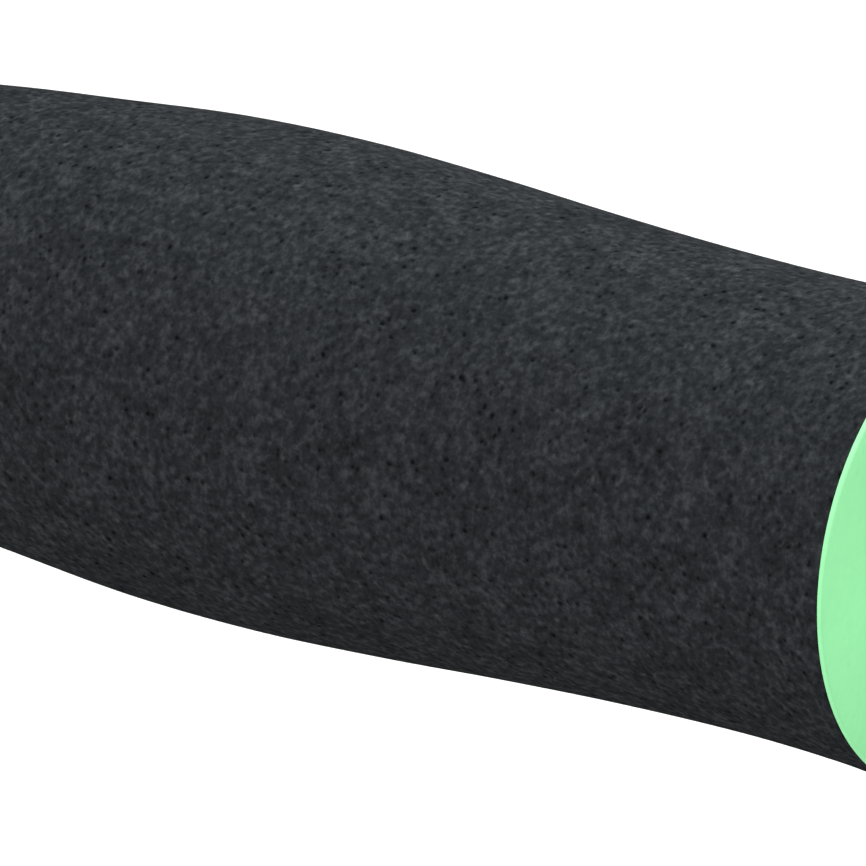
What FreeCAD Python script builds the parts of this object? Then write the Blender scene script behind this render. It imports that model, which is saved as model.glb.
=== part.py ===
import FreeCAD, Part

import math
import os

from FreeCAD import Vector

# Popping bobber float, in millimetres, hanging from its line eye.
# +Z points up the stem to the fishing line, and the origin is the centre of the line eye's hole.

# Swivels: a brass barrel with a wire eye turning in each end
eye_wire_radius = 0.5
eye_ring_radius = 1.9
eye_hole_radius = 1.45
shank_length = 1.0
barrel_length = 6.0
barrel_radius = 2.0
barrel_end_radius = 1.3
barrel_wall = 0.75
turning_clearance = 0.08
head_radius = 1.15
head_length = 0.8
head_play = 0.2

# Stem: one stainless wire with a crimped loop at each end
stem_radius = 0.5
loop_radius = 1.9
loop_entry_radius = 1.5
tail_offset = 1.1
link_gap = 0.2
sleeve_length = 6.0
sleeve_wall = 0.4
sleeve_start = 0.35
sleeve_clearance = 0.01
tail_inset = 0.5

# Beads threaded on the stem
bead_hole_radius = 0.75
plastic_bead_radius = 4.0
plastic_bead_length = 7.4
brass_bead_radius = 3.5
brass_bead_length = 6.4
resting_gap = 0.1

# Travel along the stem: every sliding piece at the top of its range still clears the sleeve
bead_travel = 5.0
sliding_beads = 5
float_travel = 20.0
end_gap = 0.2

# Float: foam body with a thin face disc glued on top, both turned about the stem
face_thickness = 0.5
face_edge_radius = 0.2
foam_length = 83.5
# (distance below the foam's top, radius): flared lip, waist, belly and tail
foam_outline = [
    (0.0, 12.55),
    (4.0, 12.24),
    (10.0, 12.06),
    (18.0, 12.18),
    (26.0, 12.53),
    (34.0, 13.0),
    (42.0, 13.29),
    (50.0, 13.15),
    (58.0, 12.52),
    (66.0, 11.8),
    (74.0, 10.7),
    (80.0, 8.9),
    (foam_length, 6.4),
]
liner_radius = 1.7
liner_bore_radius = 0.9
grommet_flange_radius = 3.8
grommet_flange_thickness = 0.9
grommet_spigot_radius = 2.5
grommet_spigot_length = 6.0
ballast_radius = 5.0
ballast_depth = 12.0
ballast_nose = 3.0
ballast_nose_flat_radius = 2.8
bushing_flange_radius = 2.4
bushing_flange_thickness = 0.7
bushing_spigot_radius = 1.7
bushing_spigot_length = 4.0

# Heights down the stem, from the line eye to the leader eye
eye_to_barrel = barrel_length / 2 + shank_length + eye_ring_radius
link_pitch = (eye_ring_radius - eye_wire_radius) + (loop_radius - stem_radius) - link_gap
loop_rise = math.sqrt(loop_radius**2 + 2 * loop_entry_radius * loop_radius)

top_barrel_z = -eye_to_barrel
top_stem_eye_z = top_barrel_z - eye_to_barrel
top_loop_z = top_stem_eye_z - link_pitch
top_sleeve_z = top_loop_z - loop_rise - sleeve_start - sleeve_length
free_travel = sliding_beads * bead_travel + float_travel

top_plastic_z = top_sleeve_z - end_gap - free_travel - plastic_bead_length
upper_brass_z = top_plastic_z - resting_gap - brass_bead_length
upper_plastic_z = upper_brass_z - resting_gap - plastic_bead_length
face_z = upper_plastic_z - resting_gap - grommet_flange_thickness
foam_top_z = face_z - face_thickness
tail_z = foam_top_z - foam_length
nose_z = tail_z - ballast_nose
bushing_z = nose_z - bushing_flange_thickness
lower_plastic_z = bushing_z - resting_gap - plastic_bead_length
lower_brass_z = lower_plastic_z - resting_gap - brass_bead_length
bottom_sleeve_z = lower_brass_z - end_gap - sleeve_length
bottom_loop_z = bottom_sleeve_z - sleeve_start - loop_rise
bottom_stem_eye_z = bottom_loop_z - link_pitch
bottom_barrel_z = bottom_stem_eye_z - eye_to_barrel
leader_eye_z = bottom_barrel_z - eye_to_barrel

up = Vector(0, 0, 1)


def turned(edges):
    """A solid turned about the stem from edges in the XZ plane."""
    outline = Part.Wire(edges)
    return Part.Face(outline).revolve(Vector(0, 0, 0), up, 360)


def at(radius, height):
    return Vector(radius, 0, height)


def polygon(points):
    """A solid turned from straight lines through (radius, height) points."""
    return turned(Part.makePolygon([at(r, z) for r, z in points + points[:1]]).Edges)


def bar(radius, bottom, top):
    return Part.makeCylinder(radius, top - bottom, Vector(0, 0, bottom))


def tube(radius, bore, bottom, top):
    return bar(radius, bottom, top).cut(bar(bore, bottom, top))


def swivel_barrel(z):
    """Barrel with a hollow for both eye heads and a narrow neck at each end."""
    half = barrel_length / 2
    shoulder = half - barrel_wall
    outside = turned([
        Part.LineSegment(at(0, -half), at(barrel_end_radius, -half)).toShape(),
        Part.Arc(at(barrel_end_radius, -half), at(barrel_radius, 0), at(barrel_end_radius, half)).toShape(),
        Part.LineSegment(at(barrel_end_radius, half), at(0, half)).toShape(),
        Part.LineSegment(at(0, half), at(0, -half)).toShape(),
    ])
    hollow = bar(head_radius + turning_clearance, -shoulder, shoulder)
    neck = bar(eye_wire_radius + turning_clearance, -half, half)
    return outside.cut(hollow).cut(neck).translated(Vector(0, 0, z))


def swivel_eye(z, side):
    """Wire ring on a shank whose head is held in the barrel; side is +1 above the barrel, -1 below."""
    ring = Part.makeTorus(eye_ring_radius, eye_wire_radius, Vector(0, 0, 0), Vector(0, 1, 0))
    reach = eye_wire_radius
    land = Part.makeCylinder(eye_hole_radius, 2 * reach, Vector(0, -reach, 0), Vector(0, 1, 0))
    head_top = barrel_length / 2 - barrel_wall - head_play - eye_to_barrel
    shank = bar(eye_wire_radius, head_top, -eye_ring_radius)
    head = bar(head_radius, head_top - head_length, head_top)
    eye = ring.cut(land).fuse([shank, head]).removeSplitter()
    if side < 0:
        eye = eye.mirror(Vector(0, 0, 0), up)
    return eye.translated(Vector(0, 0, z))


def loop_edges():
    """Centre line of the top loop about (0, 0), from the end of its tail round to the straight stem."""
    entry_z = -loop_rise
    tail_centre_y = tail_offset + loop_entry_radius
    tail_drop = math.sqrt((loop_radius + loop_entry_radius) ** 2 - tail_centre_y**2)
    tail_end_z = entry_z - sleeve_start - sleeve_length + tail_inset
    share = loop_entry_radius / (loop_radius + loop_entry_radius)

    def point(y, z):
        return Vector(0, y, z)

    def blend_middle(centre_y, centre_z, inward):
        """Middle of the small arc that leads a wire into the loop."""
        slope = math.atan2(-centre_z, -centre_y)
        straight = 0.0 if inward > 0 else math.pi
        turn = (slope + straight) / 2
        reach_y = loop_entry_radius * math.cos(turn)
        return point(centre_y + reach_y, centre_z + loop_entry_radius * math.sin(turn))

    tail_end = point(tail_offset, tail_end_z)
    tail_bend = point(tail_offset, -tail_drop)
    tail_touch = point(tail_centre_y * (1 - share), -tail_drop * (1 - share))
    stem_touch = point(-loop_entry_radius * (1 - share), entry_z * (1 - share))
    stem_bend = point(0, entry_z)
    tail_middle = blend_middle(tail_centre_y, -tail_drop, -1)
    stem_middle = blend_middle(-loop_entry_radius, entry_z, 1)
    return [
        Part.LineSegment(tail_end, tail_bend).toShape(),
        Part.Arc(tail_bend, tail_middle, tail_touch).toShape(),
        Part.Arc(tail_touch, point(0, loop_radius), stem_touch).toShape(),
        Part.Arc(stem_touch, stem_middle, stem_bend).toShape(),
    ]


def stem_wire():
    top = [edge.translated(Vector(0, 0, top_loop_z)) for edge in loop_edges()]
    mirrored = [edge.mirror(Vector(0, 0, 0), up) for edge in loop_edges()]
    bottom = [edge.translated(Vector(0, 0, bottom_loop_z)) for edge in mirrored]
    straight = Part.LineSegment(
        Vector(0, 0, top_loop_z - loop_rise),
        Vector(0, 0, bottom_loop_z + loop_rise),
    ).toShape()
    path = Part.Wire(Part.__sortEdges__(top + [straight] + bottom))
    start = path.OrderedVertexes[0].Point
    section = Part.Wire(Part.makeCircle(stem_radius, start, up))
    return path.makePipeShell([section], True, False)


def oval_bar(radius, bottom, height):
    """Upright bar whose ends are round about the stem and about the wire's tail beside it."""
    block = Part.makeBox(2 * radius, tail_offset, height, Vector(-radius, 0, bottom))
    near = Part.makeCylinder(radius, height, Vector(0, 0, bottom))
    far = Part.makeCylinder(radius, height, Vector(0, tail_offset, bottom))
    return near.fuse([block, far]).removeSplitter()


def crimp_sleeve(z):
    bore = stem_radius + sleeve_clearance
    outside = oval_bar(bore + sleeve_wall, z, sleeve_length)
    return outside.cut(oval_bar(bore, z, sleeve_length))


def bead(radius, length, z):
    """Round bead with a small flat at each end of its hole."""
    half = length / 2
    flat = math.sqrt(radius**2 - half**2)
    shape = turned([
        Part.LineSegment(at(bead_hole_radius, -half), at(flat, -half)).toShape(),
        Part.Arc(at(flat, -half), at(radius, 0), at(flat, half)).toShape(),
        Part.LineSegment(at(flat, half), at(bead_hole_radius, half)).toShape(),
        Part.LineSegment(at(bead_hole_radius, half), at(bead_hole_radius, -half)).toShape(),
    ])
    return shape.translated(Vector(0, 0, z + half))


def face_disc():
    lip_radius = foam_outline[0][1]
    disc = bar(lip_radius, foam_top_z, face_z)
    top_edges = [edge for edge in disc.Edges if edge.BoundBox.ZMin > foam_top_z]
    disc = disc.makeFillet(face_edge_radius, top_edges)
    return disc.cut(bar(grommet_spigot_radius, foam_top_z, face_z))


def foam_body():
    side = Part.BSplineCurve()
    side.interpolate([at(radius, foam_top_z - depth) for depth, radius in foam_outline])
    blank = turned([
        side.toShape(),
        Part.LineSegment(side.EndPoint, at(0, tail_z)).toShape(),
        Part.LineSegment(at(0, tail_z), at(0, foam_top_z)).toShape(),
        Part.LineSegment(at(0, foam_top_z), side.StartPoint).toShape(),
    ])
    bore = bar(liner_radius, tail_z, foam_top_z)
    spigot_seat = bar(grommet_spigot_radius, face_z - grommet_spigot_length, foam_top_z)
    ballast_seat = bar(ballast_radius, tail_z, tail_z + ballast_depth)
    return blank.cut(bore).cut(spigot_seat).cut(ballast_seat)


def top_grommet():
    """Flanged eyelet that takes the knocks of the beads on the face."""
    flange_top = face_z + grommet_flange_thickness
    dome = Part.Arc(
        at(grommet_flange_radius, face_z + 0.3 * grommet_flange_thickness),
        at(0.85 * grommet_flange_radius, face_z + 0.75 * grommet_flange_thickness),
        at(0.6 * grommet_flange_radius, flange_top),
    )
    flange = turned([
        Part.LineSegment(at(0, face_z), at(grommet_flange_radius, face_z)).toShape(),
        Part.LineSegment(at(grommet_flange_radius, face_z), dome.StartPoint).toShape(),
        dome.toShape(),
        Part.LineSegment(dome.EndPoint, at(0, flange_top)).toShape(),
        Part.LineSegment(at(0, flange_top), at(0, face_z)).toShape(),
    ])
    spigot = bar(grommet_spigot_radius, face_z - grommet_spigot_length, face_z)
    liner_seat = bar(liner_radius, face_z - grommet_spigot_length, face_z)
    wire_hole = bar(liner_bore_radius, face_z, flange_top)
    return flange.fuse(spigot).removeSplitter().cut(liner_seat).cut(wire_hole)


def liner_tube():
    return tube(liner_radius, liner_bore_radius, tail_z + ballast_depth - bushing_spigot_length, face_z)


def ballast_weight():
    """Brass plug seated in the tail, with a rounded nose below the foam."""
    nose = Part.Arc(
        at(ballast_nose_flat_radius, nose_z),
        at(0.88 * ballast_radius, tail_z - 0.58 * ballast_nose),
        at(ballast_radius, tail_z),
    )
    plug = turned([
        Part.LineSegment(at(0, nose_z), nose.StartPoint).toShape(),
        nose.toShape(),
        Part.LineSegment(nose.EndPoint, at(ballast_radius, tail_z + ballast_depth)).toShape(),
        Part.LineSegment(at(ballast_radius, tail_z + ballast_depth), at(0, tail_z + ballast_depth)).toShape(),
        Part.LineSegment(at(0, tail_z + ballast_depth), at(0, nose_z)).toShape(),
    ])
    return plug.cut(bar(liner_radius, nose_z, tail_z + ballast_depth))


def tail_bushing():
    """Plastic bushing that keeps the stem off the brass at the tail."""
    flange_bottom = nose_z - bushing_flange_thickness
    flange = bar(bushing_flange_radius, flange_bottom, nose_z)
    spigot = bar(bushing_spigot_radius, nose_z, nose_z + bushing_spigot_length)
    wire_hole = bar(liner_bore_radius, flange_bottom, nose_z + bushing_spigot_length)
    return flange.fuse(spigot).removeSplitter().cut(wire_hole)


pieces = {
    "line_eye": swivel_eye(0, 1),
    "top_swivel_barrel": swivel_barrel(top_barrel_z),
    "top_stem_eye": swivel_eye(top_stem_eye_z, -1),
    "stem_wire": stem_wire(),
    "top_crimp_sleeve": crimp_sleeve(top_sleeve_z),
    "top_plastic_bead": bead(plastic_bead_radius, plastic_bead_length, top_plastic_z),
    "upper_brass_bead": bead(brass_bead_radius, brass_bead_length, upper_brass_z),
    "upper_plastic_bead": bead(plastic_bead_radius, plastic_bead_length, upper_plastic_z),
    "top_grommet": top_grommet(),
    "face_disc": face_disc(),
    "foam_body": foam_body(),
    "liner_tube": liner_tube(),
    "ballast_weight": ballast_weight(),
    "tail_bushing": tail_bushing(),
    "lower_plastic_bead": bead(plastic_bead_radius, plastic_bead_length, lower_plastic_z),
    "lower_brass_bead": bead(brass_bead_radius, brass_bead_length, lower_brass_z),
    "bottom_crimp_sleeve": crimp_sleeve(bottom_sleeve_z),
    "bottom_stem_eye": swivel_eye(bottom_stem_eye_z, 1),
    "bottom_swivel_barrel": swivel_barrel(bottom_barrel_z),
    "leader_eye": swivel_eye(leader_eye_z, -1),
}

os.makedirs("parts", exist_ok=True)
for name, shape in pieces.items():
    shape.exportStep(f"parts/{name}.step")
    box = shape.BoundBox
    print(f"{name}: {len(shape.Solids)} solid, {shape.Volume:.1f} mm3, z {box.ZMin:.2f} to {box.ZMax:.2f}")
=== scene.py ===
import math

import bmesh
import bpy
from mathutils import Matrix, Vector


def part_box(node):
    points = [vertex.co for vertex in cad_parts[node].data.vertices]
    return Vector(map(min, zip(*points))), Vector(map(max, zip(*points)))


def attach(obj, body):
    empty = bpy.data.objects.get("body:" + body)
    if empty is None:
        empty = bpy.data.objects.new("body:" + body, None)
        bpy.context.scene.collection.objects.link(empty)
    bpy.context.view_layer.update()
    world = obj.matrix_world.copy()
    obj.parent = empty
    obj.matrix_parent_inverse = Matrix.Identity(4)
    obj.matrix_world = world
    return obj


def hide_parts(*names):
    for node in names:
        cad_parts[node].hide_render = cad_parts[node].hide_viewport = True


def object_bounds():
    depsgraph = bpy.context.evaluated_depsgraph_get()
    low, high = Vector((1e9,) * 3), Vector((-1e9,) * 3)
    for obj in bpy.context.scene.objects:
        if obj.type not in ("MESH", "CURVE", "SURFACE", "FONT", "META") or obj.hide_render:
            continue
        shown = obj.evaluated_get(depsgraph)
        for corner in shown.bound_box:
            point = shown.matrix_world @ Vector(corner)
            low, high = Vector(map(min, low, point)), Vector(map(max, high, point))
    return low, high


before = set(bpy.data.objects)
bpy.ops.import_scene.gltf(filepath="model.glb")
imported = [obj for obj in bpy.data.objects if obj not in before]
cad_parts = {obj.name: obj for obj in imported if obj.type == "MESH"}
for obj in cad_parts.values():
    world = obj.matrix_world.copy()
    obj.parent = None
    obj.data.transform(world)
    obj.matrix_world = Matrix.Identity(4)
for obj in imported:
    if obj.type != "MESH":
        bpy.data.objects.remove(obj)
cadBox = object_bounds()

mm = 0.001  # pieces are shaped in millimetres and brought to metres when they are set in place
mergeDistance = 0.0005  # in millimetres


def linear(hexColour):
    # sRGB hex to linear RGBA
    parts = [int(hexColour[i:i + 2], 16) / 255 for i in (1, 3, 5)]
    return (*[p / 12.92 if p <= 0.04045 else ((p + 0.055) / 1.055) ** 2.4 for p in parts], 1.0)


def add(tree, kind, inputs=None, stops=(), **settings):
    # one node with its settings and colour stops; an input is a plain value or another node's output
    node = tree.nodes.new(kind)
    for name, value in settings.items():
        setattr(node, name, value)
    for name, value in (inputs or {}).items():
        if isinstance(value, bpy.types.NodeSocket):
            tree.links.new(value, node.inputs[name])
        else:
            node.inputs[name].default_value = value
    for i, (place, colour) in enumerate(stops):
        points = node.color_ramp.elements
        point = points[i] if i < len(points) else points.new(place)
        point.position = place
        point.color = linear(colour)
    return node


def top(node):
    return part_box(node)[1].z / mm


def bottom(node):
    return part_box(node)[0].z / mm


def widest(node):
    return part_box(node)[1].x / mm


# Camera: the float's face is turned towards it and the stem runs down to the right
cameraSpec = {
    "lens": 623.6,
    "distance": 788.2,
    "lookDown": 35.53,
    "roll": 103.96,
    "aimBelowDisc": 34.3,
    "aimRise": 0.904,
}


def placeCamera(spec):
    look, roll = math.radians(spec["lookDown"]), math.radians(spec["roll"])
    back = Vector((0, -math.cos(look), math.sin(look)))
    level = Vector((1, 0, 0))
    rise = Vector((0, math.sin(look), math.cos(look)))
    right = level * math.cos(roll) + rise * math.sin(roll)
    upward = rise * math.cos(roll) - level * math.sin(roll)
    aim = Vector((0, 0, bottom("face_disc") - spec["aimBelowDisc"]))
    place = aim - upward * spec["aimRise"] + back * spec["distance"]
    data = bpy.data.cameras.new("camera")
    data.lens = spec["lens"]
    data.sensor_width = 36
    camera = bpy.data.objects.new("camera", data)
    turn = Matrix((right, upward, back)).transposed().to_4x4()
    camera.matrix_world = Matrix.Translation(place * mm) @ turn
    bpy.context.scene.collection.objects.link(camera)
    bpy.context.scene.camera = camera


placeCamera(cameraSpec)
print("camera placed")


# Materials

noiseRange = (0.3, 0.7)  # nearly all of a noise texture's values lie in here
toneRange = (0.35, 0.65)  # and its lighter and darker parts are told apart here


def startMaterial(name, shaderInputs):
    material = bpy.data.materials.new(name)
    material.use_nodes = True
    tree = material.node_tree
    tree.nodes.clear()
    shader = add(tree, "ShaderNodeBsdfPrincipled", shaderInputs)
    add(tree, "ShaderNodeOutputMaterial", {"Surface": shader.outputs["BSDF"]})
    coords = add(tree, "ShaderNodeTexCoord").outputs["Object"]
    return material, tree, shader, coords


def dress(tree, shader, tone, relief, spec):
    # two shades from one pattern; the gloss and a fine relief from another
    shades = [(toneRange[0], spec["dull"]), (toneRange[1], spec["bright"])]
    colour = add(tree, "ShaderNodeValToRGB", {"Fac": tone}, shades)
    tree.links.new(colour.outputs["Color"], shader.inputs["Base Color"])
    gloss = add(tree, "ShaderNodeMapRange", {
        "Value": relief, "From Min": noiseRange[0], "From Max": noiseRange[1],
        "To Min": spec["roughness"][0], "To Max": spec["roughness"][1],
    })
    tree.links.new(gloss.outputs["Result"], shader.inputs["Roughness"])
    bump = add(tree, "ShaderNodeBump", {"Height": relief, "Distance": spec["bump"] * mm, "Strength": 1.0})
    tree.links.new(bump.outputs["Normal"], shader.inputs["Normal"])


# Closed-cell EVA foam, turned and sanded: dead matt, with a faint mottle,
# and cut cells whose shade is painted into the colour as dark pits, with pale flecks painted as highlights on
# raised specks
blackFoamSpec = {
    "dark": "#0A0B0C",
    "mid": "#202224",
    "light": "#37393B",
    "spread": 0.28,
    "grain": 0.47,
    "grainShare": 0.98,
    "patch": 2.2,
    "patchShare": 0.2,
    "cell": 0.58,
    "pitDepthAndShade": 0.26,
    "fleckHeightAndHighlight": 0.14,
    "ragged": 0.35,
    "bump": 0.08,
    "roughness": 1.0,
}
# The face sheet is the same foam in light green, moulded smooth: hardly any pits
greenFoamSpec = {
    "dark": "#7FC28C",
    "mid": "#87CF95",
    "light": "#8DD69B",
    "spread": 0.28,
    "grain": 0.5,
    "grainShare": 0.4,
    "patch": 3.0,
    "patchShare": 0.4,
    "cell": 0.8,
    "pitDepthAndShade": 0.06,
    "fleckHeightAndHighlight": 0.06,
    "ragged": 0.5,
    "bump": 0.008,
    "roughness": 0.95,
}
speckSpec = {"core": 0.04, "edge": 0.36, "boldShare": 0.25, "faintShare": 0.95, "fleckSize": 1.15}


def specks(tree, coords, size, spec):
    # small soft spots, in some of the cells of a random pattern and of uneven strength
    cells = add(tree, "ShaderNodeTexVoronoi", {"Vector": coords, "Scale": 1 / (size * mm), "Randomness": 1.0})
    spots = add(tree, "ShaderNodeMapRange", {
        "Value": cells.outputs["Distance"], "From Min": spec["core"], "From Max": spec["edge"],
        "To Min": 1.0, "To Max": 0.0,
    })
    pick = add(tree, "ShaderNodeMapRange", {
        "Value": cells.outputs["Color"], "From Min": spec["boldShare"], "From Max": spec["faintShare"],
        "To Min": 1.0, "To Max": 0.0,
    })
    return add(tree, "ShaderNodeMath", {
        0: spots.outputs["Result"], 1: pick.outputs["Result"],
    }, operation="MULTIPLY").outputs[0]


def sandedFoam(name, spec):
    material, tree, shader, coords = startMaterial(name, {
        "Roughness": spec["roughness"], "Specular IOR Level": 0.0,
    })
    grain = add(tree, "ShaderNodeTexNoise", {
        "Vector": coords, "Scale": 1 / (spec["grain"] * mm), "Detail": 3.0, "Roughness": 0.65,
    })
    patches = add(tree, "ShaderNodeTexNoise", {
        "Vector": coords, "Scale": 1 / (spec["patch"] * mm), "Detail": 2.0, "Roughness": 0.5,
    })
    mottle = add(tree, "ShaderNodeMix", {
        0: spec["patchShare"], 2: grain.outputs["Fac"], 3: patches.outputs["Fac"],
    }, data_type="FLOAT")
    faint = add(tree, "ShaderNodeMix", {
        0: spec["grainShare"], 2: 0.5, 3: mottle.outputs[0],
    }, data_type="FLOAT")
    reach = spec["ragged"] * mm
    ragged = add(tree, "ShaderNodeVectorMath", {
        0: grain.outputs["Color"], 1: (reach, reach, reach), 2: coords,
    }, operation="MULTIPLY_ADD").outputs[0]
    shadedPits = specks(tree, ragged, spec["cell"], speckSpec)
    # a slightly coarser pattern, so the flecks fall elsewhere
    highlitFlecks = specks(tree, ragged, speckSpec["fleckSize"] * spec["cell"], speckSpec)
    # pits lower the height and flecks raise it; the colour follows the height, so the pits are painted shade
    # and the flecks painted highlight, as well as driving the bump
    pittedWithShade = add(tree, "ShaderNodeMath", {
        0: shadedPits, 1: -spec["pitDepthAndShade"], 2: faint.outputs[0],
    }, operation="MULTIPLY_ADD").outputs[0]
    height = add(tree, "ShaderNodeMath", {
        0: highlitFlecks, 1: spec["fleckHeightAndHighlight"], 2: pittedWithShade,
    }, operation="MULTIPLY_ADD").outputs[0]
    colour = add(tree, "ShaderNodeValToRGB", {"Fac": height}, [
        (0.5 - spec["spread"], spec["dark"]), (0.5, spec["mid"]), (0.5 + spec["spread"], spec["light"]),
    ]).outputs["Color"]
    tree.links.new(colour, shader.inputs["Base Color"])
    bump = add(tree, "ShaderNodeBump", {"Height": height, "Distance": spec["bump"] * mm, "Strength": 1.0})
    tree.links.new(bump.outputs["Normal"], shader.inputs["Normal"])
    return material


# Moulded plastic: smooth with a faint ripple from the mould and a slightly uneven gloss
greenPlasticSpec = {
    "bright": "#6EC282", "dull": "#63B777", "roughness": (0.16, 0.26), "ripple": 0.9, "bump": 0.006,
}
blackPlasticSpec = {
    "bright": "#1A1B1D", "dull": "#131415", "roughness": (0.34, 0.5), "ripple": 0.35, "bump": 0.006,
}


def mouldedPlastic(name, spec, ior):
    material, tree, shader, coords = startMaterial(name, {"IOR": ior})
    ripple = add(tree, "ShaderNodeTexNoise", {
        "Vector": coords, "Scale": 1 / (spec["ripple"] * mm), "Detail": 3.0, "Roughness": 0.5,
    }).outputs["Fac"]
    dress(tree, shader, ripple, ripple, spec)
    return material


# Turned brass: fine rings from the tool round the piece, and faint tarnish in patches
beadBrassSpec = {
    "bright": "#DFC485", "dull": "#C8A96C", "roughness": (0.16, 0.28),
    "pitch": 0.12, "bump": 0.004, "tarnish": 2.2,
}
ballastBrassSpec = {
    "bright": "#D2B578", "dull": "#B39358", "roughness": (0.26, 0.4),
    "pitch": 0.22, "bump": 0.01, "tarnish": 2.8,
}
# Black nickel plating over brass: a dark mirror with a warm grey cast
swivelSpec = {
    "bright": "#5C5B5E", "dull": "#4A494C", "roughness": (0.16, 0.26),
    "pitch": 0.3, "bump": 0.002, "tarnish": 2.6,
}


def turnedMetal(name, spec):
    material, tree, shader, coords = startMaterial(name, {"Metallic": 1.0})
    split = add(tree, "ShaderNodeSeparateXYZ", {"Vector": coords})
    flat = add(tree, "ShaderNodeCombineXYZ", {"X": split.outputs["X"], "Y": split.outputs["Y"]})
    reach = add(tree, "ShaderNodeVectorMath", {0: flat.outputs[0]}, operation="LENGTH")
    along = add(tree, "ShaderNodeMath", {0: reach.outputs["Value"], 1: split.outputs["Z"]}, operation="ADD")
    rings = add(tree, "ShaderNodeTexNoise", {
        "W": along.outputs[0], "Scale": 1 / (spec["pitch"] * mm), "Detail": 3.0, "Roughness": 0.7,
    }, noise_dimensions="1D")
    tarnish = add(tree, "ShaderNodeTexNoise", {
        "Vector": coords, "Scale": 1 / (spec["tarnish"] * mm), "Detail": 4.0, "Roughness": 0.6,
    })
    dress(tree, shader, tarnish.outputs["Fac"], rings.outputs["Fac"], spec)
    return material


# Drawn stainless wire: bright grey, with hair lines along its length that follow it round the loops
wireSpec = {
    "bright": "#C9C8C4", "dull": "#A3A29F", "roughness": (0.42, 0.26),
    "line": 0.09, "stretch": 0.02, "bump": 0.004,
}
# Drawn copper sleeve, oxidised black: dark and half matt with a warm cast, and hardly a line along the tube
sleeveSpec = {
    "bright": "#4D4842", "dull": "#433F3A", "roughness": (0.42, 0.34),
    "line": 0.14, "stretch": 0.2, "bump": 0.002,
}


def drawnMetal(name, spec, followsWire):
    material, tree, shader, coords = startMaterial(name, {"Metallic": 1.0})
    if followsWire:
        coords = add(tree, "ShaderNodeAttribute", attribute_name="alongWire").outputs["Vector"]
    drawn = add(tree, "ShaderNodeMapping", {"Vector": coords, "Scale": (1.0, 1.0, spec["stretch"])})
    lines = add(tree, "ShaderNodeTexNoise", {
        "Vector": drawn.outputs[0], "Scale": 1 / (spec["line"] * mm), "Detail": 3.0, "Roughness": 0.6,
    }).outputs["Fac"]
    dress(tree, shader, lines, lines, spec)
    return material


blackFoam = sandedFoam("blackEvaFoam", blackFoamSpec)
greenFoam = sandedFoam("greenEvaFoam", greenFoamSpec)
greenPlastic = mouldedPlastic("greenStyrene", greenPlasticSpec, 1.59)
blackPlastic = mouldedPlastic("blackAcetal", blackPlasticSpec, 1.48)
beadBrass = turnedMetal("turnedBrass", beadBrassSpec)
ballastBrass = turnedMetal("satinBrass", ballastBrassSpec)
blackNickel = turnedMetal("blackNickelPlate", swivelSpec)
stainless = drawnMetal("drawnStainless", wireSpec, True)
darkCopper = drawnMetal("blackOxideCopper", sleeveSpec, False)
print("materials made")


# Outlines: (radius, height) points in millimetres, closed back to the first

def softCorners(corners, steps=6):
    # each corner is (radius, height, rounding); a rounding of 0 leaves the point sharp
    points = []
    for i, (r, z, rounding) in enumerate(corners):
        here = Vector((r, z))
        before = Vector(corners[i - 1][:2]) - here
        after = Vector(corners[(i + 1) % len(corners)][:2]) - here
        if rounding == 0:
            points.append((r, z))
            continue
        half = before.angle(after) / 2
        setback = min(rounding / math.tan(half), 0.49 * before.length, 0.49 * after.length)
        start = here + before.normalized() * setback
        end = here + after.normalized() * setback
        for k in range(steps + 1):
            t = k / steps
            mid = start.lerp(here, t).lerp(here.lerp(end, t), t)
            points.append((mid.x, mid.y))
    return points


def arcOutline(centre, radius, start, end, steps):
    angles = [math.radians(start + (end - start) * k / steps) for k in range(steps + 1)]
    return [(centre[0] + radius * math.cos(a), centre[1] + radius * math.sin(a)) for a in angles]


def roundTrack(steps):
    # where an outline stands as it goes round the stem: (base point, outward direction)
    turns = [2 * math.pi * k / steps for k in range(steps)]
    return [(Vector((0, 0)), Vector((math.cos(a), math.sin(a)))) for a in turns]


def ovalTrack(offset, steps, straightSteps):
    # round the stem and round a second wire beside it
    track = []
    for base, start in ((offset, 0.0), (0.0, math.pi)):
        for k in range(steps + 1):
            a = start + math.pi * k / steps
            track.append((Vector((0, base)), Vector((math.cos(a), math.sin(a)))))
        other = offset - base
        for k in range(1, straightSteps):
            y = base + (other - base) * k / straightSteps
            track.append((Vector((0, y)), Vector((math.cos(start + math.pi), math.sin(start + math.pi)))))
    return track


def sweepOutline(name, outline, track):
    shape = bmesh.new()
    rings = []
    for base, outward in track:
        spots = [base + outward * r for r, z in outline]
        rings.append([shape.verts.new((p.x, p.y, z)) for p, (r, z) in zip(spots, outline)])
    for i, ring in enumerate(rings):
        following = rings[(i + 1) % len(rings)]
        for j in range(len(ring)):
            k = (j + 1) % len(ring)
            shape.faces.new((ring[j], following[j], following[k], ring[k]))
    return finished(name, shape)


def finished(name, shape):
    bmesh.ops.remove_doubles(shape, verts=shape.verts, dist=mergeDistance)
    bmesh.ops.recalc_face_normals(shape, faces=shape.faces)
    for face in shape.faces:
        face.smooth = True
    mesh = bpy.data.meshes.new(name)
    shape.to_mesh(mesh)
    shape.free()
    piece = bpy.data.objects.new(name, mesh)
    bpy.context.scene.collection.objects.link(piece)
    return piece


def plainMesh(source, name):
    # an object's shape with its modifiers, as a plain mesh
    bpy.context.view_layer.update()
    settled = source.evaluated_get(bpy.context.evaluated_depsgraph_get())
    mesh = bpy.data.meshes.new_from_object(settled)
    shape = bmesh.new()
    shape.from_mesh(mesh)
    bpy.data.objects.remove(source)
    bpy.data.meshes.remove(mesh)
    return finished(name, shape)


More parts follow.
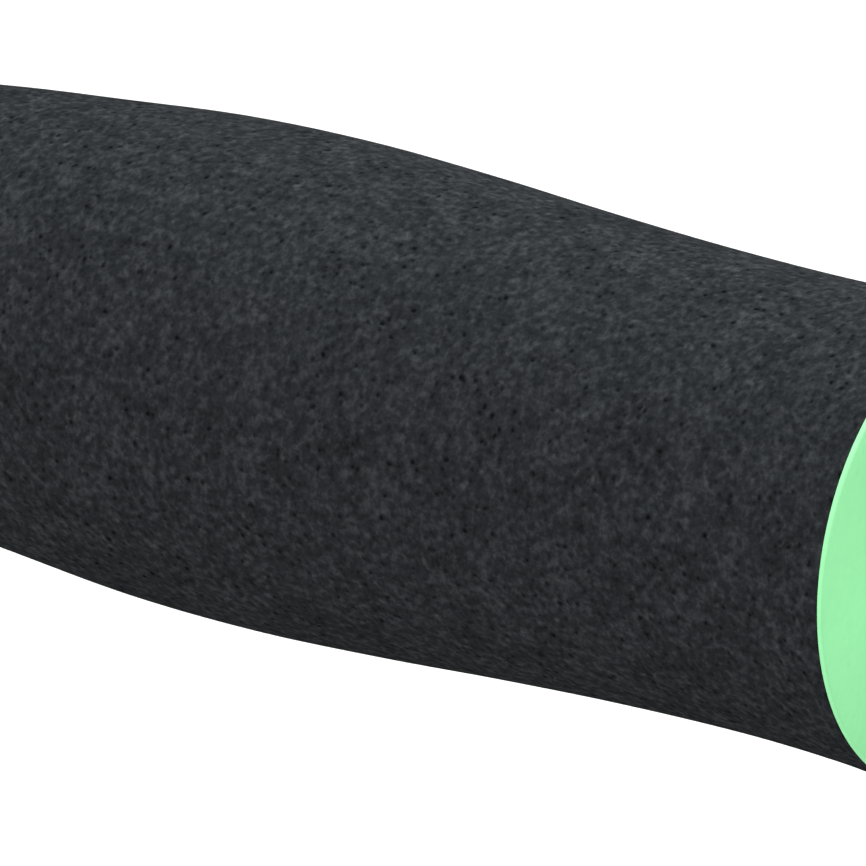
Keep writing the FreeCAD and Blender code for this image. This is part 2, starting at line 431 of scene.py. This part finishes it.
def setInPlace(piece, node, body, material, sharp=35):
    # to metres, then onto its body in the place of its CAD node
    piece.data.transform(Matrix.Scale(mm, 4))
    piece.data.materials.clear()
    piece.data.materials.append(material)
    piece.data.set_sharp_from_angle(angle=math.radians(sharp))
    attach(piece, body)
    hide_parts(node)


# Foam pieces, turned by one geometry node tree with a fine sanded grain raised on the surface

foamSpec = {
    # (distance below the foam's top, radius) down the side: flared lip, waist, belly and tail
    "outline": [
        (0.0, 12.55), (4.0, 12.24), (10.0, 12.06), (18.0, 12.18), (26.0, 12.53), (34.0, 13.0), (42.0, 13.29),
        (50.0, 13.15), (58.0, 12.52), (66.0, 11.8), (74.0, 10.7), (80.0, 8.9), (83.5, 6.4),
    ],
    "sideStep": 0.4,
    "stepsRound": 220,
    "tailRounding": 0.7,
    "lipRounding": 0.16,
    "spigotRadius": 2.5,
    "grainSize": 0.45,
    "grainDepth": 0.014,
    "seed": 4.0,
}
faceSpec = {
    "edgeRounding": 0.26,
    "glueRounding": 0.1,
    "crown": 0.2,
    "stepsRound": 220,
    "rings": 22,
    "grainSize": 0.5,
    "grainDepth": 0.006,
    "seed": 9.0,
}


def foamLathe():
    tree = bpy.data.node_groups.new("foamLathe", "GeometryNodeTree")
    sockets = [
        ("Outline", "NodeSocketGeometry"),
        ("Steps Round", "NodeSocketInt"),
        ("Grain Size", "NodeSocketFloat"),
        ("Grain Depth", "NodeSocketFloat"),
        ("Seed", "NodeSocketFloat"),
        ("Foam", "NodeSocketMaterial"),
    ]
    for name, kind in sockets:
        tree.interface.new_socket(name, in_out="INPUT", socket_type=kind)
    tree.interface.new_socket("Turned Piece", in_out="OUTPUT", socket_type="NodeSocketGeometry")
    sizes = tree.nodes.new("NodeGroupInput").outputs
    points = add(tree, "GeometryNodeAttributeDomainSize", {"Geometry": sizes["Outline"]})
    count = points.outputs["Point Count"]
    columns = add(tree, "ShaderNodeMath", {0: sizes["Steps Round"], 1: 1.0}, operation="ADD").outputs[0]
    rows = add(tree, "ShaderNodeMath", {0: count, 1: 1.0}, operation="ADD").outputs[0]
    grid = add(tree, "GeometryNodeMeshGrid", {"Vertices X": rows, "Vertices Y": columns})
    index = add(tree, "GeometryNodeInputIndex").outputs[0]
    share = add(tree, "ShaderNodeMath", {0: index, 1: columns}, operation="DIVIDE").outputs[0]
    row = add(tree, "ShaderNodeMath", {0: share}, operation="FLOOR").outputs[0]
    column = add(tree, "ShaderNodeMath", {0: index, 1: columns}, operation="MODULO").outputs[0]
    point = add(tree, "ShaderNodeMath", {0: row, 1: count}, operation="MODULO").outputs[0]
    position = add(tree, "GeometryNodeInputPosition").outputs[0]
    sample = add(tree, "GeometryNodeSampleIndex", {
        "Geometry": sizes["Outline"], "Value": position, "Index": point,
    }, data_type="FLOAT_VECTOR").outputs["Value"]
    part = add(tree, "ShaderNodeMath", {0: column, 1: sizes["Steps Round"]}, operation="DIVIDE").outputs[0]
    turn = add(tree, "ShaderNodeMath", {0: part, 1: 2 * math.pi}, operation="MULTIPLY").outputs[0]
    turned = add(tree, "ShaderNodeVectorRotate", {"Vector": sample, "Angle": turn}, rotation_type="Z_AXIS")
    lathe = add(tree, "GeometryNodeSetPosition", {
        "Geometry": grid.outputs["Mesh"], "Position": turned.outputs[0],
    }).outputs[0]
    merged = add(tree, "GeometryNodeMergeByDistance", {
        "Geometry": lathe, "Distance": 2 * mergeDistance,
    }).outputs[0]
    density = add(tree, "ShaderNodeMath", {0: 1.0, 1: sizes["Grain Size"]}, operation="DIVIDE").outputs[0]
    noise = add(tree, "ShaderNodeTexNoise", {
        "Vector": position, "W": sizes["Seed"], "Scale": density, "Detail": 2.0,
    }, noise_dimensions="4D").outputs["Fac"]
    level = add(tree, "ShaderNodeMath", {0: noise, 1: 0.5}, operation="SUBTRACT").outputs[0]
    depth = add(tree, "ShaderNodeMath", {0: level, 1: sizes["Grain Depth"]}, operation="MULTIPLY").outputs[0]
    normal = add(tree, "GeometryNodeInputNormal").outputs[0]
    lift = add(tree, "ShaderNodeVectorMath", {0: normal, "Scale": depth}, operation="SCALE").outputs[0]
    grained = add(tree, "GeometryNodeSetPosition", {"Geometry": merged, "Offset": lift}).outputs[0]
    smooth = add(tree, "GeometryNodeSetShadeSmooth", {"Geometry": grained}).outputs[0]
    real = add(tree, "GeometryNodeRealizeInstances", {"Geometry": smooth}).outputs[0]
    foam = add(tree, "GeometryNodeSetMaterial", {"Geometry": real, "Material": sizes["Foam"]}).outputs[0]
    add(tree, "NodeGroupOutput", {"Turned Piece": foam})
    return tree


def turnFoam(tree, name, outline, spec, material):
    mesh = bpy.data.meshes.new(name)
    mesh.from_pydata([(r, 0, z) for r, z in outline], [], [])
    blank = bpy.data.objects.new(name, mesh)
    bpy.context.scene.collection.objects.link(blank)
    modifier = blank.modifiers.new("foamLathe", "NODES")
    modifier.node_group = tree
    named = {item.name: item.identifier for item in tree.interface.items_tree if item.in_out == "INPUT"}
    modifier[named["Steps Round"]] = spec["stepsRound"]
    modifier[named["Grain Size"]] = spec["grainSize"]
    modifier[named["Grain Depth"]] = spec["grainDepth"]
    modifier[named["Seed"]] = spec["seed"]
    modifier[named["Foam"]] = material
    blank.data.update()
    return plainMesh(blank, name)


def throughPoints(points, step):
    # a smooth line through the points, with a point about every step
    line = []
    for i in range(len(points) - 1):
        a, b = Vector(points[i]), Vector(points[i + 1])
        before = Vector(points[max(i - 1, 0)])
        after = Vector(points[min(i + 2, len(points) - 1)])
        span = (b - a).length
        leave = (b - before).normalized() * span
        arrive = (after - a).normalized() * span
        count = max(2, round(span / step))
        for k in range(count):
            t = k / count
            line.append(
                a * (2 * t**3 - 3 * t**2 + 1) + leave * (t**3 - 2 * t**2 + t)
                + b * (3 * t**2 - 2 * t**3) + arrive * (t**3 - t**2)
            )
    return line + [Vector(points[-1])]


def makeFoamBody(tree, spec):
    glue, tail = bottom("face_disc"), bottom("foam_body")
    side = [(p.y, glue - p.x) for p in throughPoints(spec["outline"], spec["sideStep"])]
    side = [(r, z) for r, z in side if z < glue - spec["sideStep"] / 2 and z > tail + spec["tailRounding"]]
    lipRadius, tailRadius = spec["outline"][0][1], spec["outline"][-1][1]
    seat, seatTop = widest("ballast_weight"), top("ballast_weight")
    liner, spigotEnd = widest("liner_tube"), bottom("top_grommet")
    lip = softCorners([(side[0][0], side[0][1], 0), (lipRadius, glue, spec["lipRounding"]), (seat, glue, 0)])
    tailEdge = softCorners([(*side[-1], 0), (tailRadius, tail, spec["tailRounding"]), (seat, tail, 0)])
    inside = [
        (seat, tail), (seat, seatTop), (liner, seatTop), (liner, spigotEnd),
        (spec["spigotRadius"], spigotEnd), (spec["spigotRadius"], glue),
    ]
    outline = inside + lip[:0:-1][1:] + side + tailEdge[1:-1]
    return turnFoam(tree, "foamBody", outline, spec, blackFoam)


def makeFaceDisc(tree, spec):
    face, glue, rim = top("face_disc"), bottom("face_disc"), foamSpec["outline"][0][1]
    hole = foamSpec["spigotRadius"]
    across = [hole + (rim - spec["edgeRounding"] - hole) * k / spec["rings"] for k in range(spec["rings"])]
    crowned = [(r, face - spec["crown"] * (r / rim) ** 2) for r in across]
    shoulder = face - spec["crown"]
    edge = softCorners([
        (*crowned[-1], 0),
        (rim, shoulder, spec["edgeRounding"]),
        (rim, glue, spec["glueRounding"]),
        (hole, glue, 0),
    ])[1:-1]
    outline = [(hole, glue)] + crowned + edge
    return turnFoam(tree, "faceDisc", outline, spec, greenFoam)


lathe = foamLathe()
setInPlace(makeFoamBody(lathe, foamSpec), "foam_body", "float", blackFoam, sharp=50)
setInPlace(makeFaceDisc(lathe, faceSpec), "face_disc", "float", greenFoam, sharp=50)
print("foam body and face disc turned")


# Beads: round, with a chamfered hole; plastic ones have a mould line, brass ones turned grooves

beadSpec = {
    "holeRadius": 0.75,
    "chamfer": 0.18,
    "edgeRounding": 0.05,
    "sideSteps": 96,
    "stepsRound": 72,
    "mouldLine": 0.025,
    "mouldWidth": 0.18,
    "grooveDepth": 0.09,
    "grooveHeights": (-0.34, 0.34),
    "grooveWidth": 0.16,
}


def makeBead(node, body, isBrass, spec):
    radius = (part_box(node)[1].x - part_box(node)[0].x) / 2 / mm
    low, high = bottom(node), top(node)
    middle, half = (low + high) / 2, (high - low) / 2
    reach = math.degrees(math.asin(half / radius))
    side = arcOutline((0, middle), radius, -reach, reach, spec["sideSteps"])
    shaped = []
    for r, z in side:
        if isBrass:
            for height in spec["grooveHeights"]:
                offset = z - middle - height * radius
                r -= spec["grooveDepth"] * math.exp(-(offset / spec["grooveWidth"]) ** 2)
        else:
            r += spec["mouldLine"] * (math.exp(-((z - middle) / spec["mouldWidth"]) ** 2) - 1)
        shaped.append((r, z))
    hole, chamfer, edge, flat = spec["holeRadius"], spec["chamfer"], spec["edgeRounding"], side[0][0]
    ends = softCorners([
        (flat, low, 0),
        (hole + chamfer, low, edge),
        (hole, low + chamfer, edge),
        (hole, high - chamfer, edge),
        (hole + chamfer, high, edge),
        (flat, high, 0),
    ], 3)
    outline = ends[1:-1] + shaped[::-1]
    track = roundTrack(spec["stepsRound"])
    if isBrass:
        setInPlace(sweepOutline(node + "Turned", outline, track), node, body, beadBrass)
    else:
        setInPlace(sweepOutline(node + "Moulded", outline, track), node, body, greenPlastic)


for plasticBead in ("top_plastic_bead", "upper_plastic_bead", "lower_plastic_bead"):
    makeBead(plasticBead, plasticBead, False, beadSpec)
for brassBead in ("upper_brass_bead", "lower_brass_bead"):
    makeBead(brassBead, brassBead, True, beadSpec)
print("beads made")


# Float fittings: face grommet, brass ballast and tail bushing

grommetSpec = {
    "flange": 0.9, "spigotRadius": 2.5, "boreRadius": 0.9, "chamfer": 0.25, "dish": 1.6, "rimBevel": 0.05,
    "mouthRounding": 0.05, "lipRounding": 0.08, "dishRounding": 0.1, "spigotRounding": 0.1,
    # (share of the rim's radius, share of the flange's height, rounding) down the flange's crown
    "crown": [(0.62, 1.0, 0.5), (0.93, 0.62, 0.3), (1.0, 0.2, 0.15)],
    "stepsRound": 96,
}
ballastSpec = {
    "nose": 3.0, "noseFlat": 2.8, "noseCurve": 2.6, "edgeRounding": 0.15, "noseSteps": 40,
    "grooves": (0.8, 1.5), "grooveDepth": 0.12, "grooveWidth": 0.14, "stepsRound": 96,
}
bushingSpec = {
    "flange": 0.7, "spigotRadius": 1.7, "boreRadius": 0.9,
    "rounding": 0.2, "seatRounding": 0.05, "spigotRounding": 0.1, "stepsRound": 64,
}


def makeGrommet(spec):
    high, low, rim = top("top_grommet"), bottom("top_grommet"), widest("top_grommet")
    face, bore, liner = high - spec["flange"], spec["boreRadius"], widest("liner_tube")
    crown = [(rim * out, face + spec["flange"] * rise, rounding) for out, rise, rounding in spec["crown"]]
    outline = softCorners([
        (bore, high - spec["chamfer"], spec["mouthRounding"]),
        (bore + spec["chamfer"], high, spec["lipRounding"]),
        (spec["dish"], high, spec["dishRounding"]),
        *crown,
        (rim - spec["rimBevel"], face, spec["rimBevel"]),
        (spec["spigotRadius"], face, 0),
        (spec["spigotRadius"], low, spec["spigotRounding"]),
        (liner, low, 0),
        (liner, face, 0),
        (bore, face, 0),
    ])
    piece = sweepOutline("faceGrommet", outline, roundTrack(spec["stepsRound"]))
    setInPlace(piece, "top_grommet", "float", blackPlastic)


def makeBallast(spec):
    high, low, radius = top("ballast_weight"), bottom("ballast_weight"), widest("ballast_weight")
    tail, bore = low + spec["nose"], widest("liner_tube")
    nose = []
    for k in range(spec["noseSteps"] + 1):
        t = k / spec["noseSteps"]
        r = radius - (radius - spec["noseFlat"]) * t ** spec["noseCurve"]
        depth = spec["nose"] * t
        for groove in spec["grooves"]:
            r -= spec["grooveDepth"] * math.exp(-((depth - groove) / spec["grooveWidth"]) ** 2)
        nose.append((r, tail - depth))
    plug = softCorners([
        (bore, low, spec["edgeRounding"]),
        (bore, high, spec["edgeRounding"]),
        (radius, high, spec["edgeRounding"]),
        (radius, tail, 0),
        (spec["noseFlat"], low, 0),
    ])
    outline = plug[:-2] + nose
    piece = sweepOutline("tailBallast", outline, roundTrack(spec["stepsRound"]))
    setInPlace(piece, "ballast_weight", "float", ballastBrass)


def makeBushing(spec):
    high, low, rim = top("tail_bushing"), bottom("tail_bushing"), widest("tail_bushing")
    seat, bore = low + spec["flange"], spec["boreRadius"]
    outline = softCorners([
        (bore, low, spec["rounding"]),
        (rim, low, spec["rounding"]),
        (rim, seat, spec["seatRounding"]),
        (spec["spigotRadius"], seat, 0),
        (spec["spigotRadius"], high, spec["spigotRounding"]),
        (bore, high, spec["seatRounding"]),
    ])
    piece = sweepOutline("tailBushing", outline, roundTrack(spec["stepsRound"]))
    setInPlace(piece, "tail_bushing", "float", blackPlastic)


makeGrommet(grommetSpec)
makeBallast(ballastSpec)
makeBushing(bushingSpec)
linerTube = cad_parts["liner_tube"]  # its CAD shape is right: it only needs its plastic
for liningSlot in linerTube.material_slots:
    liningSlot.material = blackPlastic
print("float fittings made")


# Swivels: a barrel with rolled necks, and a wire eye turning in each end

barrelSpec = {
    "neckRadius": 0.58, "neckRounding": 0.12, "endRadius": 1.3, "hollowRadius": 1.23, "wall": 0.75,
    "waistHeight": 2.05, "waistDepth": 0.1, "waistWidth": 0.2, "rollDepth": 0.22, "rollShare": 0.07,
    "sideSteps": 60, "stepsRound": 64,
}
eyeSpec = {
    "wireRadius": 0.5, "ringRadius": 1.9, "headRadius": 1.15, "headLength": 0.8,
    "shoulderRadius": 0.62, "shoulderPlace": 0.38,
    "voxel": 0.07, "softenSteps": 6, "ringSteps": 72, "wireSteps": 20, "shankSteps": 40,
}


def makeBarrel(node, body, spec):
    low, high, radius = bottom(node), top(node), widest(node)
    middle, half = (low + high) / 2, (high - low) / 2
    side = []
    for k in range(spec["sideSteps"] + 1):
        level = -1 + 2 * k / spec["sideSteps"]
        z = half * level
        rolled = max(0.0, 1 - (1 - abs(level)) / spec["rollShare"])
        r = spec["endRadius"] + (radius - spec["endRadius"]) * (1 - level**2)
        r -= spec["waistDepth"] * math.exp(-((abs(z) - spec["waistHeight"]) / spec["waistWidth"]) ** 2)
        r -= spec["rollDepth"] * rolled**2
        side.append((r, middle + z))
    neck, shoulder = spec["neckRadius"], half - spec["wall"]
    inside = softCorners([
        (side[-1][0], high, 0),
        (neck, high, spec["neckRounding"]),
        (neck, middle + shoulder, 0),
        (spec["hollowRadius"], middle + shoulder, 0),
        (spec["hollowRadius"], middle - shoulder, 0),
        (neck, middle - shoulder, 0),
        (neck, low, spec["neckRounding"]),
        (side[0][0], low, 0),
    ])
    piece = sweepOutline(node + "Rolled", side + inside[1:-1], roundTrack(spec["stepsRound"]))
    setInPlace(piece, node, body, blackNickel)


def makeEye(node, body, shankDown, spec):
    # ring, shank and head are welded by a fine remesh, with a small fillet where the ring meets the shank
    low, high = bottom(node), top(node)
    wire, ring = spec["wireRadius"], spec["ringRadius"]
    centre = high - ring - wire if shankDown else low + ring + wire
    side = -1 if shankDown else 1
    shape = bmesh.new()
    loops = []
    for i in range(spec["ringSteps"]):
        a = 2 * math.pi * i / spec["ringSteps"]
        loop = []
        for j in range(spec["wireSteps"]):
            b = 2 * math.pi * j / spec["wireSteps"]
            reach = ring + wire * math.cos(b)
            spot = (reach * math.cos(a), wire * math.sin(b), centre + reach * math.sin(a))
            loop.append(shape.verts.new(spot))
        loops.append(loop)
    for i, loop in enumerate(loops):
        following = loops[(i + 1) % len(loops)]
        for j in range(len(loop)):
            k = (j + 1) % len(loop)
            shape.faces.new((loop[j], following[j], following[k], loop[k]))
    headEnd = low if shankDown else high
    headStart = headEnd - side * spec["headLength"]
    shankEnd = centre + side * ring
    for r, start, end in ((wire, shankEnd, headEnd), (spec["headRadius"], headStart, headEnd)):
        place = Matrix.Translation((0, 0, (start + end) / 2))
        bmesh.ops.create_cone(
            shape, cap_ends=True, segments=spec["shankSteps"], radius1=r, radius2=r,
            depth=abs(end - start), matrix=place,
        )
    shoulder = Matrix.Translation((0, 0, shankEnd + side * spec["shoulderPlace"]))
    bmesh.ops.create_uvsphere(
        shape, u_segments=spec["shankSteps"], v_segments=spec["shankSteps"] // 2,
        radius=spec["shoulderRadius"], matrix=shoulder,
    )
    blank = finished(node + "Blank", shape)
    weld = blank.modifiers.new("weld", "REMESH")
    weld.mode = "VOXEL"
    weld.voxel_size = spec["voxel"]
    soften = blank.modifiers.new("soften", "SMOOTH")
    soften.factor = 0.5
    soften.iterations = spec["softenSteps"]
    piece = plainMesh(blank, node + "Formed")
    setInPlace(piece, node, body, blackNickel, sharp=60)


makeBarrel("top_swivel_barrel", "top_barrel", barrelSpec)
makeBarrel("bottom_swivel_barrel", "bottom_barrel", barrelSpec)
makeEye("line_eye", "line_eye", True, eyeSpec)
makeEye("top_stem_eye", "top_stem_eye", False, eyeSpec)
makeEye("bottom_stem_eye", "bottom_stem_eye", True, eyeSpec)
makeEye("leader_eye", "leader_eye", False, eyeSpec)
print("swivels made")


# Stem: one wire with a loop at each end, its tails held beside it by crimped sleeves

stemSpec = {
    "radius": 0.5, "loopRadius": 1.9, "entryRadius": 1.5, "tailOffset": 1.1, "tailInset": 0.5,
    "entrySteps": 10, "loopSteps": 72, "straightStep": 6.0, "wireSteps": 28,
}
crimpSpec = {
    "clearance": 0.01, "wall": 0.4, "mouthRounding": 0.12, "edgeRounding": 0.08,
    "flare": 0.07, "flareCurve": 12,
    "dents": (-0.3, 0.0, 0.3), "dentDepth": 0.2, "dentHeight": 0.5, "dentWidth": 0.72,
    "heightSteps": 90, "roundSteps": 24, "straightSteps": 16,
}


def stemLine(spec):
    # centre line in the YZ plane, from the tail in the top sleeve to the tail in the bottom one
    ring, entry, offset = spec["loopRadius"], spec["entryRadius"], spec["tailOffset"]
    rise = math.sqrt(ring**2 + 2 * entry * ring)
    drop = math.sqrt((ring + entry) ** 2 - (offset + entry) ** 2)
    loopTop = top("stem_wire") - ring - spec["radius"]
    loopBottom = bottom("stem_wire") + ring + spec["radius"]
    tailTurn = math.degrees(math.atan2(drop, -(offset + entry)))
    stemTurn = math.degrees(math.atan2(rise, entry))
    tailArc = arcOutline((offset + entry, -drop), entry, 180, tailTurn, spec["entrySteps"])
    loopArc = arcOutline((0, 0), ring, tailTurn - 180, 180 + stemTurn, spec["loopSteps"])
    stemArc = arcOutline((-entry, -rise), entry, stemTurn, 0, spec["entrySteps"])
    tailEnd = bottom("top_crimp_sleeve") + spec["tailInset"] - loopTop
    half = [(offset, tailEnd)] + tailArc + loopArc[1:] + stemArc[1:]
    upper = [(y, loopTop + z) for y, z in half]
    lower = [(y, loopBottom - z) for y, z in reversed(half)]
    count = round((upper[-1][1] - lower[0][1]) / spec["straightStep"])
    straight = [(0.0, upper[-1][1] + (lower[0][1] - upper[-1][1]) * k / count) for k in range(1, count)]
    return upper + straight + lower


def makeStem(spec):
    # swept in the plane of its loops; each point keeps its place round and along the wire, for the material
    line = stemLine(spec)
    shape = bmesh.new()
    place = shape.verts.layers.float_vector.new("alongWire")
    rings, length = [], 0.0
    for i, (y, z) in enumerate(line):
        before, after = line[max(i - 1, 0)], line[min(i + 1, len(line) - 1)]
        along = Vector((after[0] - before[0], after[1] - before[1])).normalized()
        length += math.hypot(y - before[0], z - before[1])
        ring = []
        for j in range(spec["wireSteps"]):
            a = 2 * math.pi * j / spec["wireSteps"]
            across, inPlane = spec["radius"] * math.cos(a), spec["radius"] * math.sin(a)
            vertex = shape.verts.new((across, y - inPlane * along.y, z + inPlane * along.x))
            vertex[place] = Vector((across, inPlane, length)) * mm
            ring.append(vertex)
        rings.append(ring)
    for ring, following in zip(rings, rings[1:]):
        for j in range(len(ring)):
            k = (j + 1) % len(ring)
            shape.faces.new((ring[j], following[j], following[k], ring[k]))
    shape.faces.new(rings[0])
    shape.faces.new(rings[-1][::-1])
    setInPlace(finished("stemWire", shape), "stem_wire", "stem", stainless, sharp=60)


def makeSleeve(node, spec):
    low, high = bottom(node), top(node)
    middle, length = (low + high) / 2, high - low
    bore = stemSpec["radius"] + spec["clearance"]
    outer = bore + spec["wall"]
    side = []
    for k in range(spec["heightSteps"] + 1):
        level = -1 + 2 * k / spec["heightSteps"]
        z = middle + level * length / 2
        if min(z - low, high - z) > spec["edgeRounding"]:
            side.append((outer + spec["flare"] * (abs(level) ** spec["flareCurve"] - 1), z))
    ends = softCorners([
        (outer, high, spec["edgeRounding"]),
        (bore, high, spec["mouthRounding"]),
        (bore, low, spec["mouthRounding"]),
        (outer, low, spec["edgeRounding"]),
    ])
    track = ovalTrack(stemSpec["tailOffset"], spec["roundSteps"], spec["straightSteps"])
    piece = sweepOutline(node + "Crimped", side + ends, track)
    for vertex in piece.data.vertices:
        # three flat marks are pressed into each broad side, between the two wires
        x, y, z = vertex.co
        if abs(x) > bore + spec["wall"] / 2:
            marks = [math.exp(-((z - middle - d * length) / spec["dentHeight"]) ** 4) for d in spec["dents"]]
            between = math.exp(-((y - stemSpec["tailOffset"] / 2) / spec["dentWidth"]) ** 4)
            vertex.co.x = x - math.copysign(spec["dentDepth"] * sum(marks) * between, x)
    setInPlace(piece, node, "stem", darkCopper)


makeStem(stemSpec)
makeSleeve("top_crimp_sleeve", crimpSpec)
makeSleeve("bottom_crimp_sleeve", crimpSpec)
print("stem and sleeves made")


# Studio: a plain pale floor, two broad soft lights from the side, and a soft fill in front and behind

studioSpec = {
    "floorDrop": 12.0,
    "floorSize": 24.0,
    "floorDull": "#F3F3F1",
    "floorBright": "#F4F4F2",
    "fibre": 25.0,
    "worldColour": "#F2F4F7",
    "worldStrength": 0.45,
    "lights": [
        # name, place, width, height, power
        ("sideKey", (-1.0, -0.06, 0.06), 1.0, 0.38, 14.2),
        ("sideEdge", (-1.0, 0.4, 0.06), 0.8, 0.38, 10.6),
        ("frontFill", (0.1, -1.4, 1.03), 1.2, 1.2, 33.0),
        ("farFill", (1.35, 0.6, -0.13), 1.4, 0.17, 5.0),
        ("backFill", (0.3, 1.6, 0.43), 1.2, 1.0, 15.2),
    ],
    "aimHeight": -0.13,
}


def makeStudio(spec):
    scene = bpy.context.scene
    scene.view_settings.view_transform = "Standard"
    world = bpy.data.worlds.new("studio")
    world.use_nodes = True
    sky = world.node_tree.nodes["Background"]
    sky.inputs["Color"].default_value = linear(spec["worldColour"])
    sky.inputs["Strength"].default_value = spec["worldStrength"]
    scene.world = world
    floorZ = cadBox[0].z - spec["floorDrop"] * mm
    shape = bmesh.new()
    bmesh.ops.create_grid(shape, x_segments=8, y_segments=8, size=spec["floorSize"] / 2)
    mesh = bpy.data.meshes.new("floor")
    shape.to_mesh(mesh)
    shape.free()
    mesh.transform(Matrix.Translation((0, 0, floorZ)))
    floor = bpy.data.objects.new("floor", mesh)
    scene.collection.objects.link(floor)
    paper, tree, shader, coords = startMaterial("palePaper", {"Roughness": 0.9, "Specular IOR Level": 0.1})
    fibre = add(tree, "ShaderNodeTexNoise", {
        "Vector": coords, "Scale": 1 / (spec["fibre"] * mm), "Detail": 2.0,
    })
    shade = add(tree, "ShaderNodeValToRGB", {"Fac": fibre.outputs["Fac"]}, [
        (noiseRange[0], spec["floorDull"]), (noiseRange[1], spec["floorBright"]),
    ])
    tree.links.new(shade.outputs["Color"], shader.inputs["Base Color"])
    mesh.materials.append(paper)
    for name, place, width, height, power in spec["lights"]:
        data = bpy.data.lights.new(name, "AREA")
        data.shape = "RECTANGLE"
        data.size = width
        data.size_y = height
        data.energy = power
        lamp = bpy.data.objects.new(name, data)
        lamp.location = place
        lamp.rotation_mode = "QUATERNION"
        aim = Vector((0, 0, spec["aimHeight"])) - Vector(place)
        lamp.rotation_quaternion = aim.to_track_quat("-Z", "Y")
        lamp.visible_camera = False
        scene.collection.objects.link(lamp)


makeStudio(studioSpec)
print("studio lit")
